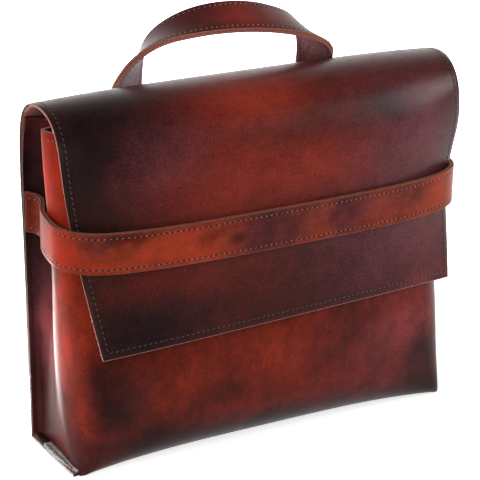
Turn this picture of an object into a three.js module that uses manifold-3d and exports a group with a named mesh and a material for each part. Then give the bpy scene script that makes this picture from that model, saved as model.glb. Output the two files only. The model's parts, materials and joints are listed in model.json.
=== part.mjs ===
// A leather bicycle pannier in the form of a briefcase.
//
// One hide makes the front, both gussets and the bottom. A second hide makes the back,
// rolls over the top and hangs down the front as a flap, which is tucked under a broad
// strap of two plies. A handle of two plies arches over the ridge, and a rail with two
// hooks on the back hangs the bag on a rack.
//
// Millimetres, +Z up, +X to the right along the front, +Y towards the back.
// The origin is on the floor, at the middle of the bottom.

import * as THREE from 'three';
import { mergeVertices } from 'three/addons/utils/BufferGeometryUtils.js';
import Module from 'manifold-3d';

const wasm = await Module();
wasm.setup();

// Driving dimensions
const DEPTH = 95;
const LEATHER = 2.5;
const PLY = 2;
const GAP = 0.3;
const FRONT = -DEPTH / 2;
const BACK = DEPTH / 2;
const BACK_INSIDE = BACK - LEATHER;

// Seams of the body: the gussets' margins are turned outwards
const SEAM_MARGIN = 7.5;
const BACK_HALF_BOTTOM = 185;
const BACK_HALF_TOP = 188.5;
const SEAM_GAP = 0.7;
const SEAM_ROUND = 4;
const FOLD_ROUND = 7;
const FOLD_DEPTH = 23;
const SHOULDER_SHARE = 0.2;
const CORNER_SHARE = 0.68;
const REAR_HEM = 14;
const BOTTOM_MARGIN_FRONT = 8;
const BOTTOM_MARGIN_TAPER = 2;
const FLOOR_INSET = 0.5;

// The front bends under into the bottom, roundly in the middle and tightly at the corners
const BEND_MIDDLE = 50;
const BEND_CORNER = 7;
const BEND_POWER = 3;
const FRONT_BOW_POWER = 2.6;
const FLAP_BOW_POWER = 4;

// Sections of the body from the floor to the rim. "half" is half the width, "corner" and "middle"
// are how far the front stands before the bottom's front line, "round" is the length of front that
// each corner takes up, "tuck" how far the corner stays inside the shoulder, "crease" how far the
// gusset's fold is pushed in and "shoulder" how far behind the bottom's front line the gusset comes
// out again.
const BODY_SECTIONS = [
  { z: 0, half: 188, corner: 4, middle: 20, round: 9, tuck: 2, crease: 1, shoulder: 12, skew: -0.02, shift: 2 },
  { z: 50, half: 191, corner: 10, middle: 23, round: 30, tuck: 6, crease: 3.5, shoulder: 33, skew: 0, shift: 2 },
  { z: 110, half: 193, corner: 13, middle: 23.5, round: 44, tuck: 9, crease: 4.5, shoulder: 48, skew: 0.018, shift: 2 },
  { z: 150, half: 194, corner: 3, middle: 16.5, round: 48, tuck: 9, crease: 9, shoulder: 46, skew: 0.026, shift: 2 },
  { z: 190, half: 194.5, corner: -8, middle: 12, round: 44, tuck: 7, crease: 17, shoulder: 44, skew: 0.024, shift: 1.5 },
  { z: 250, half: 196.5, corner: -15, middle: 4, round: 32, tuck: 5, crease: 26, shoulder: 48, skew: 0.018, shift: 1 },
  { z: 306, half: 198.5, corner: -29, middle: -14, round: 14, tuck: 2, crease: 32, shoulder: 45, skew: 0, shift: 0 },
];
const BODY_LEVELS = [0, 1.5, 5, 11, 20, 31, 43, 56, 80, 110, 135, 160, 185, 210, 235, 260, 285, 306];
const FRONT_COLUMNS = 9;

// The outside of the back and flap along its side edges, from the bottom of the back over the
// ridge to the flap's hem. "half" is half the width, "bow" how far the middle stands out and "rise"
// how far the right end stands higher than the middle.
// In both tables "skew" turns the front and "shift" moves it sideways.
const FLAP_PROFILE = [
  { y: BACK, z: 0, half: 192, bow: 0, skew: 0, shift: 0, rise: 0 },
  { y: BACK, z: 130, half: 193.5, bow: 0, skew: 0, shift: 0, rise: 0 },
  { y: BACK, z: 225, half: 195, bow: 0, skew: 0, shift: 0, rise: 0 },
  { y: BACK, z: 242, half: 195.5, bow: 0, skew: 0, shift: 0, rise: 0 },
  { y: BACK - 1.2, z: 266, half: 196, bow: 0, skew: 0, shift: 0, rise: 0 },
  { y: BACK - 4.5, z: 290, half: 197, bow: 0, skew: 0, shift: 0, rise: 0 },
  { y: BACK - 13, z: 310, half: 198.5, bow: 2, skew: 0, shift: 1, rise: 0 },
  { y: BACK - 27, z: 322, half: 200, bow: 3, skew: 0, shift: 3, rise: 0 },
  { y: FRONT + 52, z: 326, half: 201, bow: 3.5, skew: 0, shift: 4.5, rise: 0 },
  { y: FRONT + 36, z: 324, half: 201, bow: 4.5, skew: 0, shift: 5, rise: 0 },
  { y: FRONT + 23, z: 317.5, half: 200.3, bow: 7, skew: 0.002, shift: 3.6, rise: 0 },
  { y: FRONT + 13, z: 306.5, half: 200.5, bow: 10, skew: 0.006, shift: 2.8, rise: 0 },
  { y: FRONT + 8, z: 291, half: 200.5, bow: 15, skew: 0.01, shift: 2.4, rise: 0 },
  { y: FRONT + 6.5, z: 268, half: 199.9, bow: 20, skew: 0.014, shift: 3.4, rise: 0 },
  { y: FRONT + 8, z: 240, half: 195.5, bow: 24, skew: 0.018, shift: 3.5, rise: 0 },
  { y: FRONT + 8, z: 212, half: 191, bow: 25, skew: 0.022, shift: 4, rise: 0 },
  { y: FRONT + 4, z: 184.8, half: 188.4, bow: 21, skew: 0.026, shift: 5.4, rise: 0.8 },
  { y: FRONT - 6, z: 153.3, half: 185, bow: 15, skew: 0.03, shift: 5.5, rise: 1.3 },
  { y: FRONT - 18, z: 121.3, half: 180.8, bow: 9, skew: 0.036, shift: 4.8, rise: 1.8 },
];
const FLAP_ROWS = 44;
const FLAP_COLUMNS = 18;

// Left half of the closing strap along the middle of its outer face, from the back seam round
// the gusset and the front corner to the middle of the front.
const STRAP_WIDTH = 36;
const STRAP_PATH = [
  { x: -196.5, y: FRONT + 84.5, z: 218.5 },
  { x: -192, y: FRONT + 83, z: 218 },
  { x: -188.5, y: FRONT + 77, z: 217 },
  { x: -190.5, y: FRONT + 67, z: 216 },
  { x: -198, y: FRONT + 53.5, z: 214.5 },
  { x: -202, y: FRONT + 36, z: 213 },
  { x: -203.1, y: FRONT + 17, z: 211.5 },
  { x: -196.5, y: FRONT + 1.5, z: 210.5 },
  { x: -181.5, y: FRONT - 8.5, z: 209.5 },
  { x: -158, y: FRONT - 14.5, z: 208.5 },
  { x: -120, y: FRONT - 19, z: 208 },
  { x: -60, y: FRONT - 22, z: 208 },
  { x: 0, y: FRONT - 22.4, z: 208 },
];
const STRAP_SKEW = 0.024;
const STRAP_SHIFT = 2;
const STRAP_LEAN = -0.01;
const STRAP_STEPS = 84;

// The handle along the middle of its two plies, from its left sewn end on the back over the arch
// to its right one. "twist" turns the strap from flat on the back to flat in the hand.
const HANDLE_WIDTH = 34;
const HANDLE_PLY = 2.6;
const HANDLE_PATH = [
  { x: -95, y: BACK + 3.2, z: 240, twist: 0 },
  { x: -95, y: BACK + 2.4, z: 270, twist: 0 },
  { x: -95.3, y: BACK, z: 297, twist: 3 },
  { x: -95.4, y: BACK - 4.5, z: 318, twist: 21 },
  { x: -90.4, y: BACK - 10.4, z: 338, twist: 46 },
  { x: -75, y: BACK - 14.4, z: 357, twist: 80 },
  { x: -42, y: BACK - 17.4, z: 369, twist: 110 },
  { x: 0, y: BACK - 18.4, z: 371.5, twist: 123 },
  { x: 42, y: BACK - 17.4, z: 365, twist: 118 },
  { x: 76, y: BACK - 14.4, z: 351.5, twist: 100 },
  { x: 91.8, y: BACK - 10.4, z: 332.5, twist: 58 },
  { x: 95, y: BACK - 4.2, z: 313, twist: 16 },
  { x: 95, y: BACK, z: 297, twist: 3 },
  { x: 95, y: BACK + 2.4, z: 270, twist: 0 },
  { x: 95, y: BACK + 3.2, z: 240, twist: 0 },
];
const HANDLE_STEPS = 56;

// Rail and hooks on the back, for a rack tube
const RAIL_LENGTH = 240;
const RAIL_BOTTOM = 184;
const RAIL_TOP = 222;
const RAIL_THICKNESS = 4;
const RAIL_CORNER = 8;
const HOOK_SPREAD = 80;
const HOOK_WIDTH = 24;
const HOOK_SLOT = 12;
const HOOK_WALL = 5;
const HOOK_DROP = 30;
const HOOK_TOP = 218;

// A smooth row for any distance along a table of places: every named column is a cubic of it.
function smoothRows(rows, key) {
  const columns = Object.keys(rows[0]);
  const keys = [];
  rows.forEach((row, index) => {
    if (key) {
      keys.push(row[key]);
    } else {
      const before = rows[Math.max(index - 1, 0)];
      const step = Math.hypot((row.x ?? 0) - (before.x ?? 0), row.y - before.y, row.z - before.z);
      keys.push(index ? keys[index - 1] + step : 0);
    }
  });
  const values = rows.flatMap((row) => columns.map((name) => row[name]));
  const cubic = new THREE.CubicInterpolant(keys, values, columns.length, new Float64Array(columns.length));
  return {
    length: keys.at(-1),
    at: (place) => {
      const found = cubic.evaluate(place);
      return Object.fromEntries(columns.map((name, index) => [name, found[index]]));
    },
  };
}

// A table of a left half, continued by its mirror image on the right.
function mirrored(rows) {
  const right = rows.slice(0, -1).reverse();
  return rows.concat(right.map((row) => ({ ...row, x: -row.x })));
}

// Closed solid between two grids of points that have the same rows and columns.
function solidBetween(outer, inner) {
  const rows = outer.length;
  const columns = outer[0].length;
  const points = [...outer.flat(), ...inner.flat()];
  const out = (row, column) => row * columns + column;
  const into = (row, column) => rows * columns + row * columns + column;
  const faces = [];
  const quad = (a, b, c, d) => faces.push(a, b, c, a, c, d);
  for (let row = 0; row < rows - 1; row += 1) {
    for (let column = 0; column < columns - 1; column += 1) {
      quad(out(row, column), out(row, column + 1), out(row + 1, column + 1), out(row + 1, column));
      quad(into(row, column), into(row + 1, column), into(row + 1, column + 1), into(row, column + 1));
    }
    const last = columns - 1;
    quad(out(row, 0), out(row + 1, 0), into(row + 1, 0), into(row, 0));
    quad(out(row, last), into(row, last), into(row + 1, last), out(row + 1, last));
  }
  for (let column = 0; column < columns - 1; column += 1) {
    const last = rows - 1;
    quad(out(0, column), into(0, column), into(0, column + 1), out(0, column + 1));
    quad(out(last, column), out(last, column + 1), into(last, column + 1), into(last, column));
  }
  if (signedVolume(points, faces) < 0) {
    faces.reverse();
  }
  const geometry = new THREE.BufferGeometry().setFromPoints(points);
  geometry.setIndex(faces);
  return geometry;
}

function signedVolume(points, faces) {
  const cross = new THREE.Vector3();
  let volume = 0;
  for (let index = 0; index < faces.length; index += 3) {
    cross.crossVectors(points[faces[index + 1]], points[faces[index + 2]]);
    volume += points[faces[index]].dot(cross) / 6;
  }
  return volume;
}

// Direction across a grid at each point, pointing to the left of its columns' course.
function gridNormals(grid) {
  const rows = grid.length;
  const columns = grid[0].length;
  return grid.map((line, row) => line.map((point, column) => {
    const along = grid[row][Math.min(column + 1, columns - 1)].clone();
    along.sub(grid[row][Math.max(column - 1, 0)]);
    const up = grid[Math.min(row + 1, rows - 1)][column].clone();
    up.sub(grid[Math.max(row - 1, 0)][column]);
    return up.cross(along).normalize();
  }));
}

// The same grid moved along its normals by a distance.
function offsetGrid(grid, distance) {
  const normals = gridNormals(grid);
  return grid.map((line, row) => line.map((point, column) => (
    point.clone().addScaledVector(normals[row][column], distance)
  )));
}

function toSolid(geometry) {
  const bare = geometry.clone();
  bare.deleteAttribute('normal');
  bare.deleteAttribute('uv');
  const merged = mergeVertices(bare, 1e-4);
  return new wasm.Manifold(new wasm.Mesh({
    numProp: 3,
    vertProperties: new Float32Array(merged.attributes.position.array),
    triVerts: new Uint32Array(merged.index.array),
  }));
}

function joined(geometries) {
  const mesh = geometries.map(toSolid).reduce((sum, solid) => sum.add(solid)).getMesh();
  const geometry = new THREE.BufferGeometry();
  geometry.setAttribute('position', new THREE.BufferAttribute(new Float32Array(mesh.vertProperties), 3));
  geometry.setIndex(new THREE.BufferAttribute(new Uint32Array(mesh.triVerts), 1));
  return geometry;
}

// A plan outline raised from one height to another.
function raised(corners, bottom, top) {
  const shape = new THREE.Shape(corners.map(([x, y]) => new THREE.Vector2(x, y)));
  const geometry = new THREE.ExtrudeGeometry(shape, { depth: top - bottom, bevelEnabled: false });
  return geometry.translate(0, 0, bottom);
}

// Points of a round corner between two straight runs, the first run's end included.
function roundCorner(from, corner, to, cutBefore, cutAfter, count) {
  const start = corner.clone().add(from.clone().sub(corner).setLength(cutBefore));
  const end = corner.clone().add(to.clone().sub(corner).setLength(cutAfter));
  return new THREE.QuadraticBezierCurve(start, corner, end).getPoints(count);
}

function straightPoints(start, end, count) {
  return new THREE.LineCurve(start, end).getPoints(count).slice(1, -1);
}

// Body
const bodySection = smoothRows(BODY_SECTIONS, 'z');
const flapProfile = smoothRows(FLAP_PROFILE);

// Inside of the back at a height, read off its own profile, level with the leaning leather.
function backInsideAt(height) {
  let place = 1;
  while (flapProfile.at(place).z < height) {
    place += 1;
  }
  const before = flapProfile.at(place - 1);
  const after = flapProfile.at(place + 1);
  const lean = (after.y - before.y) / (after.z - before.z);
  return after.y - LEATHER * Math.hypot(1, lean);
}

// The filled bag stands a little out of true: its front leans and shifts, its back does not.
function leaned(x, y, z, skew, shift) {
  const share = THREE.MathUtils.clamp((BACK - y) / DEPTH, 0, 1);
  return new THREE.Vector3(x + shift * share, y + skew * x * share, z);
}

function bendRadius(x, half) {
  const share = 1 - Math.min(Math.abs(x) / half, 1) ** BEND_POWER;
  return BEND_CORNER + (BEND_MIDDLE - BEND_CORNER) * share;
}

// How far the front has turned under at a height.
function bendBack(x, half, z) {
  const radius = bendRadius(x, half);
  const left = Math.max(radius - z, 0);
  return radius - Math.sqrt(Math.max(radius ** 2 - left ** 2, 0));
}

// Left half of a level's outline, from the turned-out margin at the back to mid-front.
function halfOutline(z) {
  const section = bodySection.at(z);
  const backHalf = BACK_HALF_BOTTOM + (BACK_HALF_TOP - BACK_HALF_BOTTOM) * (z / BODY_LEVELS.at(-1));
  const backY = backInsideAt(z) - SEAM_GAP - LEATHER;
  const frontY = (x) => {
    const share = Math.abs(x / section.half) ** FRONT_BOW_POWER;
    return FRONT - section.middle + (section.middle - section.corner) * share;
  };
  const tip = new THREE.Vector2(-backHalf - SEAM_MARGIN, backY);
  const seam = new THREE.Vector2(-backHalf, backY);
  const corner = new THREE.Vector2(section.tuck - section.half, frontY(section.half));
  const crease = new THREE.Vector2(-backHalf + section.crease, backY - FOLD_DEPTH);
  const shoulder = new THREE.Vector2(-section.half, FRONT + section.shoulder);
  const side = shoulder.y - corner.y;
  const shoulderRound = SHOULDER_SHARE * side;
  const cornerSide = Math.min(section.round, CORNER_SHARE * side);
  const frontStart = section.half - section.round;
  const front = new THREE.Vector2(-frontStart, frontY(frontStart));
  const seamRound = roundCorner(tip, seam, crease, SEAM_ROUND, SEAM_ROUND, 3);
  const foldRound = roundCorner(seam, crease, shoulder, FOLD_ROUND, FOLD_ROUND, 4);
  const sideRound = roundCorner(crease, shoulder, corner, shoulderRound, shoulderRound, 4);
  const cornerRound = roundCorner(shoulder, corner, front, cornerSide, front.distanceTo(corner), 8);
  const points = [
    tip,
    ...seamRound,
    ...straightPoints(seamRound.at(-1), foldRound[0], 2),
    ...foldRound,
    ...straightPoints(foldRound.at(-1), sideRound[0], 2),
    ...sideRound,
    ...straightPoints(sideRound.at(-1), cornerRound[0], 2),
  ];
  const places = points.map((point) => ({ x: point.x, y: point.y, bent: 0 }));
  cornerRound.forEach((point, index) => {
    places.push({ x: point.x, y: point.y, bent: index / (cornerRound.length - 1) });
  });
  for (let index = 1; index <= FRONT_COLUMNS; index += 1) {
    const x = -frontStart * (1 - index / FRONT_COLUMNS);
    places.push({ x, y: frontY(x), bent: 1 });
  }
  return places;
}

function bodyLevel(z) {
  const { half, skew, shift } = bodySection.at(z);
  return mirrored(halfOutline(z)).map(({ x, y, bent }) => (
    leaned(x, y + bent * bendBack(x, half, z), z, skew, shift)
  ));
}

function bodyGeometry() {
  const outside = BODY_LEVELS.map(bodyLevel);
  const wall = solidBetween(outside, offsetGrid(outside, LEATHER));
  const backY = BACK_INSIDE - SEAM_GAP;
  const inset = BACK_HALF_BOTTOM - LEATHER / 2;
  const floorFront = outside[0].filter((point) => Math.abs(point.x) < inset && point.y < 0);
  const frontLine = floorFront.map(({ x, y }) => [x, y + FLOOR_INSET]);
  const floor = raised([...frontLine, [inset, backY], [-inset, backY]], 0, LEATHER);
  const rearHem = raised(
    [[-inset, backY - LEATHER], [inset, backY - LEATHER], [inset, backY], [-inset, backY]],
    0,
    REAR_HEM,
  );
  const margins = [-1, 1].map((side) => raised(
    [
      [side * inset, FRONT + BOTTOM_MARGIN_FRONT],
      [side * (BACK_HALF_BOTTOM + SEAM_MARGIN - BOTTOM_MARGIN_TAPER), FRONT + BOTTOM_MARGIN_FRONT],
      [side * (BACK_HALF_BOTTOM + SEAM_MARGIN), backY],
      [side * inset, backY],
    ],
    0,
    2 * LEATHER,
  ));
  return joined([wall, floor, rearHem, ...margins]);
}

// Back and flap
function flapRow(place) {
  const row = flapProfile.at(place);
  const before = flapProfile.at(Math.max(place - 1, 0));
  const after = flapProfile.at(Math.min(place + 1, flapProfile.length));
  const run = Math.hypot(after.y - before.y, after.z - before.z);
  const outY = (after.z - before.z) / run;
  const outZ = (before.y - after.y) / run;
  const line = [];
  for (let column = 0; column <= FLAP_COLUMNS; column += 1) {
    const across = (2 * column) / FLAP_COLUMNS - 1;
    const x = across * row.half;
    const bow = row.bow * (1 - Math.abs(across) ** FLAP_BOW_POWER);
    const height = row.z + bow * outZ + row.rise * across;
    line.push(leaned(x, row.y + bow * outY, height, row.skew, row.shift));
  }
  return line;
}

function backFlapGeometry() {
  const outside = [];
  for (let step = 0; step <= FLAP_ROWS; step += 1) {
    outside.push(flapRow((flapProfile.length * step) / FLAP_ROWS));
  }
  return solidBetween(outside, offsetGrid(outside, -LEATHER));
}

// Strap: a strip of one ply, between two depths below its outer face
function strapPly(depthOut, depthIn) {
  const path = smoothRows(mirrored(STRAP_PATH));
  const lower = [];
  const upper = [];
  for (let step = 0; step <= STRAP_STEPS; step += 1) {
    const { x, y, z } = path.at((path.length * step) / STRAP_STEPS);
    const height = z + STRAP_LEAN * x;
    lower.push(leaned(x, y, height - STRAP_WIDTH / 2, STRAP_SKEW, STRAP_SHIFT));
    upper.push(leaned(x, y, height + STRAP_WIDTH / 2, STRAP_SKEW, STRAP_SHIFT));
  }
  const face = [lower, upper];
  return solidBetween(offsetGrid(face, depthOut), offsetGrid(face, depthIn));
}

// Handle: a strip of one ply, between two distances from the middle of the plies
function handlePly(nearSide, farSide) {
  const path = smoothRows(HANDLE_PATH);
  const forward = new THREE.Vector3(0, -1, 0);
  const near = [];
  const far = [];
  for (let step = 0; step <= HANDLE_STEPS; step += 1) {
    const place = (path.length * step) / HANDLE_STEPS;
    const { x, y, z, twist } = path.at(place);
    const before = path.at(Math.max(place - 1, 0));
    const after = path.at(Math.min(place + 1, path.length));
    const course = new THREE.Vector3(after.x - before.x, after.y - before.y, after.z - before.z);
    course.normalize();
    const turn = THREE.MathUtils.degToRad(twist);
    const across = new THREE.Vector3(-course.z, 0, course.x).multiplyScalar(Math.cos(turn));
    across.addScaledVector(forward, Math.sin(turn));
    across.addScaledVector(course, -across.dot(course)).normalize();
    const grain = across.clone().cross(course);
    const middle = new THREE.Vector3(x, y, z);
    const edges = [-HANDLE_WIDTH / 2, HANDLE_WIDTH / 2].map((half) => (
      middle.clone().addScaledVector(across, half)
    ));
    near.push(edges.map((edge) => edge.clone().addScaledVector(grain, nearSide)));
    far.push(edges.map((edge) => edge.clone().addScaledVector(grain, farSide)));
  }
  return solidBetween(near, far);
}

// Rail with two hooks
function railGeometry() {
  const plateFront = BACK + GAP;
  const plateBack = plateFront + RAIL_THICKNESS;
  const halfLength = RAIL_LENGTH / 2;
  const outline = new THREE.Shape();
  outline.moveTo(-halfLength + RAIL_CORNER, RAIL_BOTTOM);
  outline.lineTo(halfLength - RAIL_CORNER, RAIL_BOTTOM);
  outline.quadraticCurveTo(halfLength, RAIL_BOTTOM, halfLength, RAIL_BOTTOM + RAIL_CORNER);
  outline.lineTo(halfLength, RAIL_TOP - RAIL_CORNER);
  outline.quadraticCurveTo(halfLength, RAIL_TOP, halfLength - RAIL_CORNER, RAIL_TOP);
  outline.lineTo(-halfLength + RAIL_CORNER, RAIL_TOP);
  outline.quadraticCurveTo(-halfLength, RAIL_TOP, -halfLength, RAIL_TOP - RAIL_CORNER);
  outline.lineTo(-halfLength, RAIL_BOTTOM + RAIL_CORNER);
  outline.quadraticCurveTo(-halfLength, RAIL_BOTTOM, -halfLength + RAIL_CORNER, RAIL_BOTTOM);
  const plate = new THREE.ExtrudeGeometry(outline, {
    depth: RAIL_THICKNESS, bevelEnabled: false, curveSegments: 4,
  });
  plate.rotateX(Math.PI / 2);
  plate.translate(0, plateBack, 0);
  const hooks = [-HOOK_SPREAD, HOOK_SPREAD].map((x) => hookGeometry(x, plateBack));
  return joined([plate, ...hooks]);
}

// A hook seen from the side: an arm out of the plate, a round shoulder and a tip hanging down.
function hookGeometry(x, plateBack) {
  const root = plateBack - 1;
  const slotEnd = plateBack + HOOK_SLOT;
  const tipEnd = slotEnd + HOOK_WALL;
  const ceiling = HOOK_TOP - HOOK_WALL;
  const slotRound = HOOK_SLOT / 2;
  const shoulder = slotRound + HOOK_WALL;
  const profile = new THREE.Shape();
  profile.moveTo(root, HOOK_TOP);
  profile.lineTo(tipEnd - shoulder, HOOK_TOP);
  profile.absarc(tipEnd - shoulder, HOOK_TOP - shoulder, shoulder, Math.PI / 2, 0, true);
  profile.lineTo(tipEnd, HOOK_TOP - HOOK_DROP);
  profile.lineTo(slotEnd, HOOK_TOP - HOOK_DROP);
  profile.lineTo(slotEnd, ceiling - slotRound);
  profile.absarc(slotEnd - slotRound, ceiling - slotRound, slotRound, 0, Math.PI / 2, false);
  profile.lineTo(root, ceiling);
  const geometry = new THREE.ExtrudeGeometry(profile, {
    depth: HOOK_WIDTH, bevelEnabled: false, curveSegments: 6,
  });
  geometry.rotateY(Math.PI / 2);
  geometry.rotateX(Math.PI / 2);
  return geometry.translate(x - HOOK_WIDTH / 2, 0, 0);
}

const pannier = new THREE.Group();

function addPiece(name, geometry, colour, roughness, metalness) {
  const material = new THREE.MeshStandardMaterial({ color: colour, roughness, metalness });
  const mesh = new THREE.Mesh(geometry, material);
  mesh.name = name;
  pannier.add(mesh);
}

const strapLiningDepth = PLY + GAP;
addPiece('body', bodyGeometry(), 0x8a2a1a, 0.42, 0);
addPiece('back_flap', backFlapGeometry(), 0x4a1a16, 0.4, 0);
addPiece('strap_outer', strapPly(0, PLY), 0x9a3219, 0.42, 0);
addPiece('strap_lining', strapPly(strapLiningDepth, strapLiningDepth + PLY), 0x6a2a1c, 0.7, 0);
addPiece('handle_outer', handlePly(GAP / 2, GAP / 2 + HANDLE_PLY), 0x4c1d15, 0.42, 0);
addPiece('handle_lining', handlePly(-GAP / 2 - HANDLE_PLY, -GAP / 2), 0x6b5457, 0.85, 0);
addPiece('rack_hook_rail', railGeometry(), 0x1c1b1b, 0.5, 0);

export default pannier;
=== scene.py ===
# %% [markdown]
# # A leather bicycle pannier in the form of a briefcase
# One hide makes the front, the gussets and the bottom, a second one makes the back and rolls
# over the top as a flap, and a broad strap of two plies holds the flap down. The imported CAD
# model gives the size and the place of every piece, so it is loaded first and stays as it is.

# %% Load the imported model
import json
import math

import bpy
import numpy as np
from mathutils import Matrix, Vector
from mathutils.bvhtree import BVHTree
from mathutils.kdtree import KDTree

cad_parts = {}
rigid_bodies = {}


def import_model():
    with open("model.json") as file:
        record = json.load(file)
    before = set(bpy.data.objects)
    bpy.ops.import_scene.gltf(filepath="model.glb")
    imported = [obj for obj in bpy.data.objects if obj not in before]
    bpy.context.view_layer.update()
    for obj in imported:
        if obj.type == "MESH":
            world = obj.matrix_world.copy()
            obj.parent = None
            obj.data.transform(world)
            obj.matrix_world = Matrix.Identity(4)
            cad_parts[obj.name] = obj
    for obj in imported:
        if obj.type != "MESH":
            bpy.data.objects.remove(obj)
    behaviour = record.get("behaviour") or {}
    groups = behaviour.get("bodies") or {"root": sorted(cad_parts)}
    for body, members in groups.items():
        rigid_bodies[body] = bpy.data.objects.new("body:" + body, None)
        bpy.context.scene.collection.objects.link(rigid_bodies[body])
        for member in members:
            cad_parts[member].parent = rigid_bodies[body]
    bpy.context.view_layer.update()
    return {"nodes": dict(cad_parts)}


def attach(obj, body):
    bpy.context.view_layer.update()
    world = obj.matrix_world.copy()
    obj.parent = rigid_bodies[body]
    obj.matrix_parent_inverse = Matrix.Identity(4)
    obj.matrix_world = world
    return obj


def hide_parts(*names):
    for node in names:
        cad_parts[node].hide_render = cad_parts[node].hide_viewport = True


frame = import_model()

MM = 0.001

# %% [markdown]
# ## Camera
# The bag is seen from its left front, a little from above, with a long lens. The camera's place
# and lens were fitted to the bag's own corners, so they are set here as plain numbers.

# %% Camera
CAMERA_PLACE = Vector((-768.24, -1317.26, 754.92)) * MM
CAMERA_AIM = Vector((-3.2, 2.5, 172.4)) * MM
CAMERA_ROLL = math.radians(0.9)
LENS = 136.185
SENSOR = 36

scene = bpy.context.scene
camera_data = bpy.data.cameras.new("camera")
camera_data.lens = LENS
camera_data.sensor_width = SENSOR
camera = bpy.data.objects.new("camera", camera_data)
scene.collection.objects.link(camera)
looking = (CAMERA_AIM - CAMERA_PLACE).to_track_quat("-Z", "Y").to_matrix()
camera.matrix_world = Matrix.Translation(CAMERA_PLACE) @ (
    looking @ Matrix.Rotation(CAMERA_ROLL, 3, "Z")).to_4x4()
scene.camera = camera
print("camera is", round((CAMERA_AIM - CAMERA_PLACE).length, 3), "m from what it looks at")

# %% [markdown]
# ## Hands on the mesh
# Blender's operators act on what is selected in the active object. A few short helpers do what
# the hand does between two operators: take one object, select some of its elements by a rule,
# and apply a modifier.

# %% Selecting and applying
def take(piece):
    if bpy.context.object and bpy.context.object.mode != "OBJECT":
        bpy.ops.object.mode_set(mode="OBJECT")
    bpy.ops.object.select_all(action="DESELECT")
    piece.select_set(True)
    bpy.context.view_layer.objects.active = piece


def choose(piece, kind, wanted):
    """Opens a piece in edit mode with only the wanted points, edges or faces selected."""
    take(piece)
    mesh = piece.data
    groups = {"VERT": mesh.vertices, "EDGE": mesh.edges, "FACE": mesh.polygons}
    for group in groups.values():
        group.foreach_set("select", np.zeros(len(group), bool))
    for element in groups[kind]:
        element.select = bool(wanted(element))
    bpy.context.tool_settings.mesh_select_mode = [name == kind for name in groups]
    bpy.ops.object.mode_set(mode="EDIT")


def leave():
    bpy.ops.object.mode_set(mode="OBJECT")


def apply(piece, kind, **settings):
    take(piece)
    modifier = piece.modifiers.new(kind.title(), kind)
    for name, value in settings.items():
        setattr(modifier, name, value)
    bpy.ops.object.modifier_apply(modifier=modifier.name)


def everything(element):
    return True


# %% [markdown]
# ## From a solid to a sheet of leather
# A bag is sewn from sheets, so each piece starts as its grain side alone: the faces of the CAD
# solid that hang together without a sharp edge. A copy of the node is welded first, because its
# triangles are loose. The sheet is then made smooth by subdivision, gets its thickness on the
# flesh side by Solidify, and its cut edge is softened by Bevel, as a leather worker's edge tool
# does. Modelling the sheets from planes would only repeat the curves that the solids have.

# %% A welded copy of a node
WELD = 0.02 * MM


def copy_of(node, name):
    """A welded copy of a node as a new piece, left in edit mode with all its faces selected."""
    piece = bpy.data.objects.new(name, frame["nodes"][node].data.copy())
    piece.data.name = name
    piece.data.materials.clear()
    scene.collection.objects.link(piece)
    take(piece)
    bpy.ops.mesh.customdata_custom_splitnormals_clear()
    choose(piece, "FACE", everything)
    bpy.ops.mesh.remove_doubles(threshold=WELD)
    return piece


# %% The grain side of a node
SHEET_BEND = math.radians(60)
SQUARE = math.radians(30)
FACING = 0.6


def grain_side(node, name, near, facing, bend=SHEET_BEND):
    """A new piece with the faces of a node's outer side, found from one face near a point. Its
    triangles are paired in two passes, the square pairs first, so that few diagonals are left."""
    piece = copy_of(node, name)
    for shape in (SQUARE, math.pi):
        bpy.ops.mesh.tris_convert_to_quads(face_threshold=math.pi, shape_threshold=shape)
    leave()
    towards, place = Vector(facing), Vector(near) * MM
    turned = [face for face in piece.data.polygons if face.normal.dot(towards) > FACING]
    first = min(turned, key=lambda face: (face.center - place).length).index
    choose(piece, "FACE", lambda face: face.index == first)
    bpy.ops.mesh.faces_select_linked_flat(sharpness=bend)
    bpy.ops.mesh.select_all(action="INVERT")
    bpy.ops.mesh.delete(type="FACE")
    leave()
    print(name, "grain side:", len(piece.data.polygons), "faces")
    return piece


# %% A strip of even rows
DIAGONAL = 0.05 * MM


def strip(node, name, near, facing, width, rows):
    """A strap's grain side: diagonals that are left go, and the edges across it are divided."""
    piece = grain_side(node, name, near, facing)
    mesh = piece.data

    def length(edge):
        one, other = (mesh.vertices[index].co for index in edge.vertices)
        return (one - other).length

    choose(piece, "EDGE", lambda edge: length(edge) > width + DIAGONAL)
    bpy.ops.mesh.dissolve_edges(use_verts=False)
    leave()
    print(name, "has", len(mesh.polygons), "faces along it")
    choose(piece, "EDGE", lambda edge: length(edge) > width / 2)
    bpy.ops.mesh.subdivide(number_cuts=rows - 1)
    leave()
    print(name, "has", len(mesh.polygons), "faces in rows")
    return piece


# %% The cut edge of a sheet
CORNER_TURN = math.radians(38)


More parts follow.
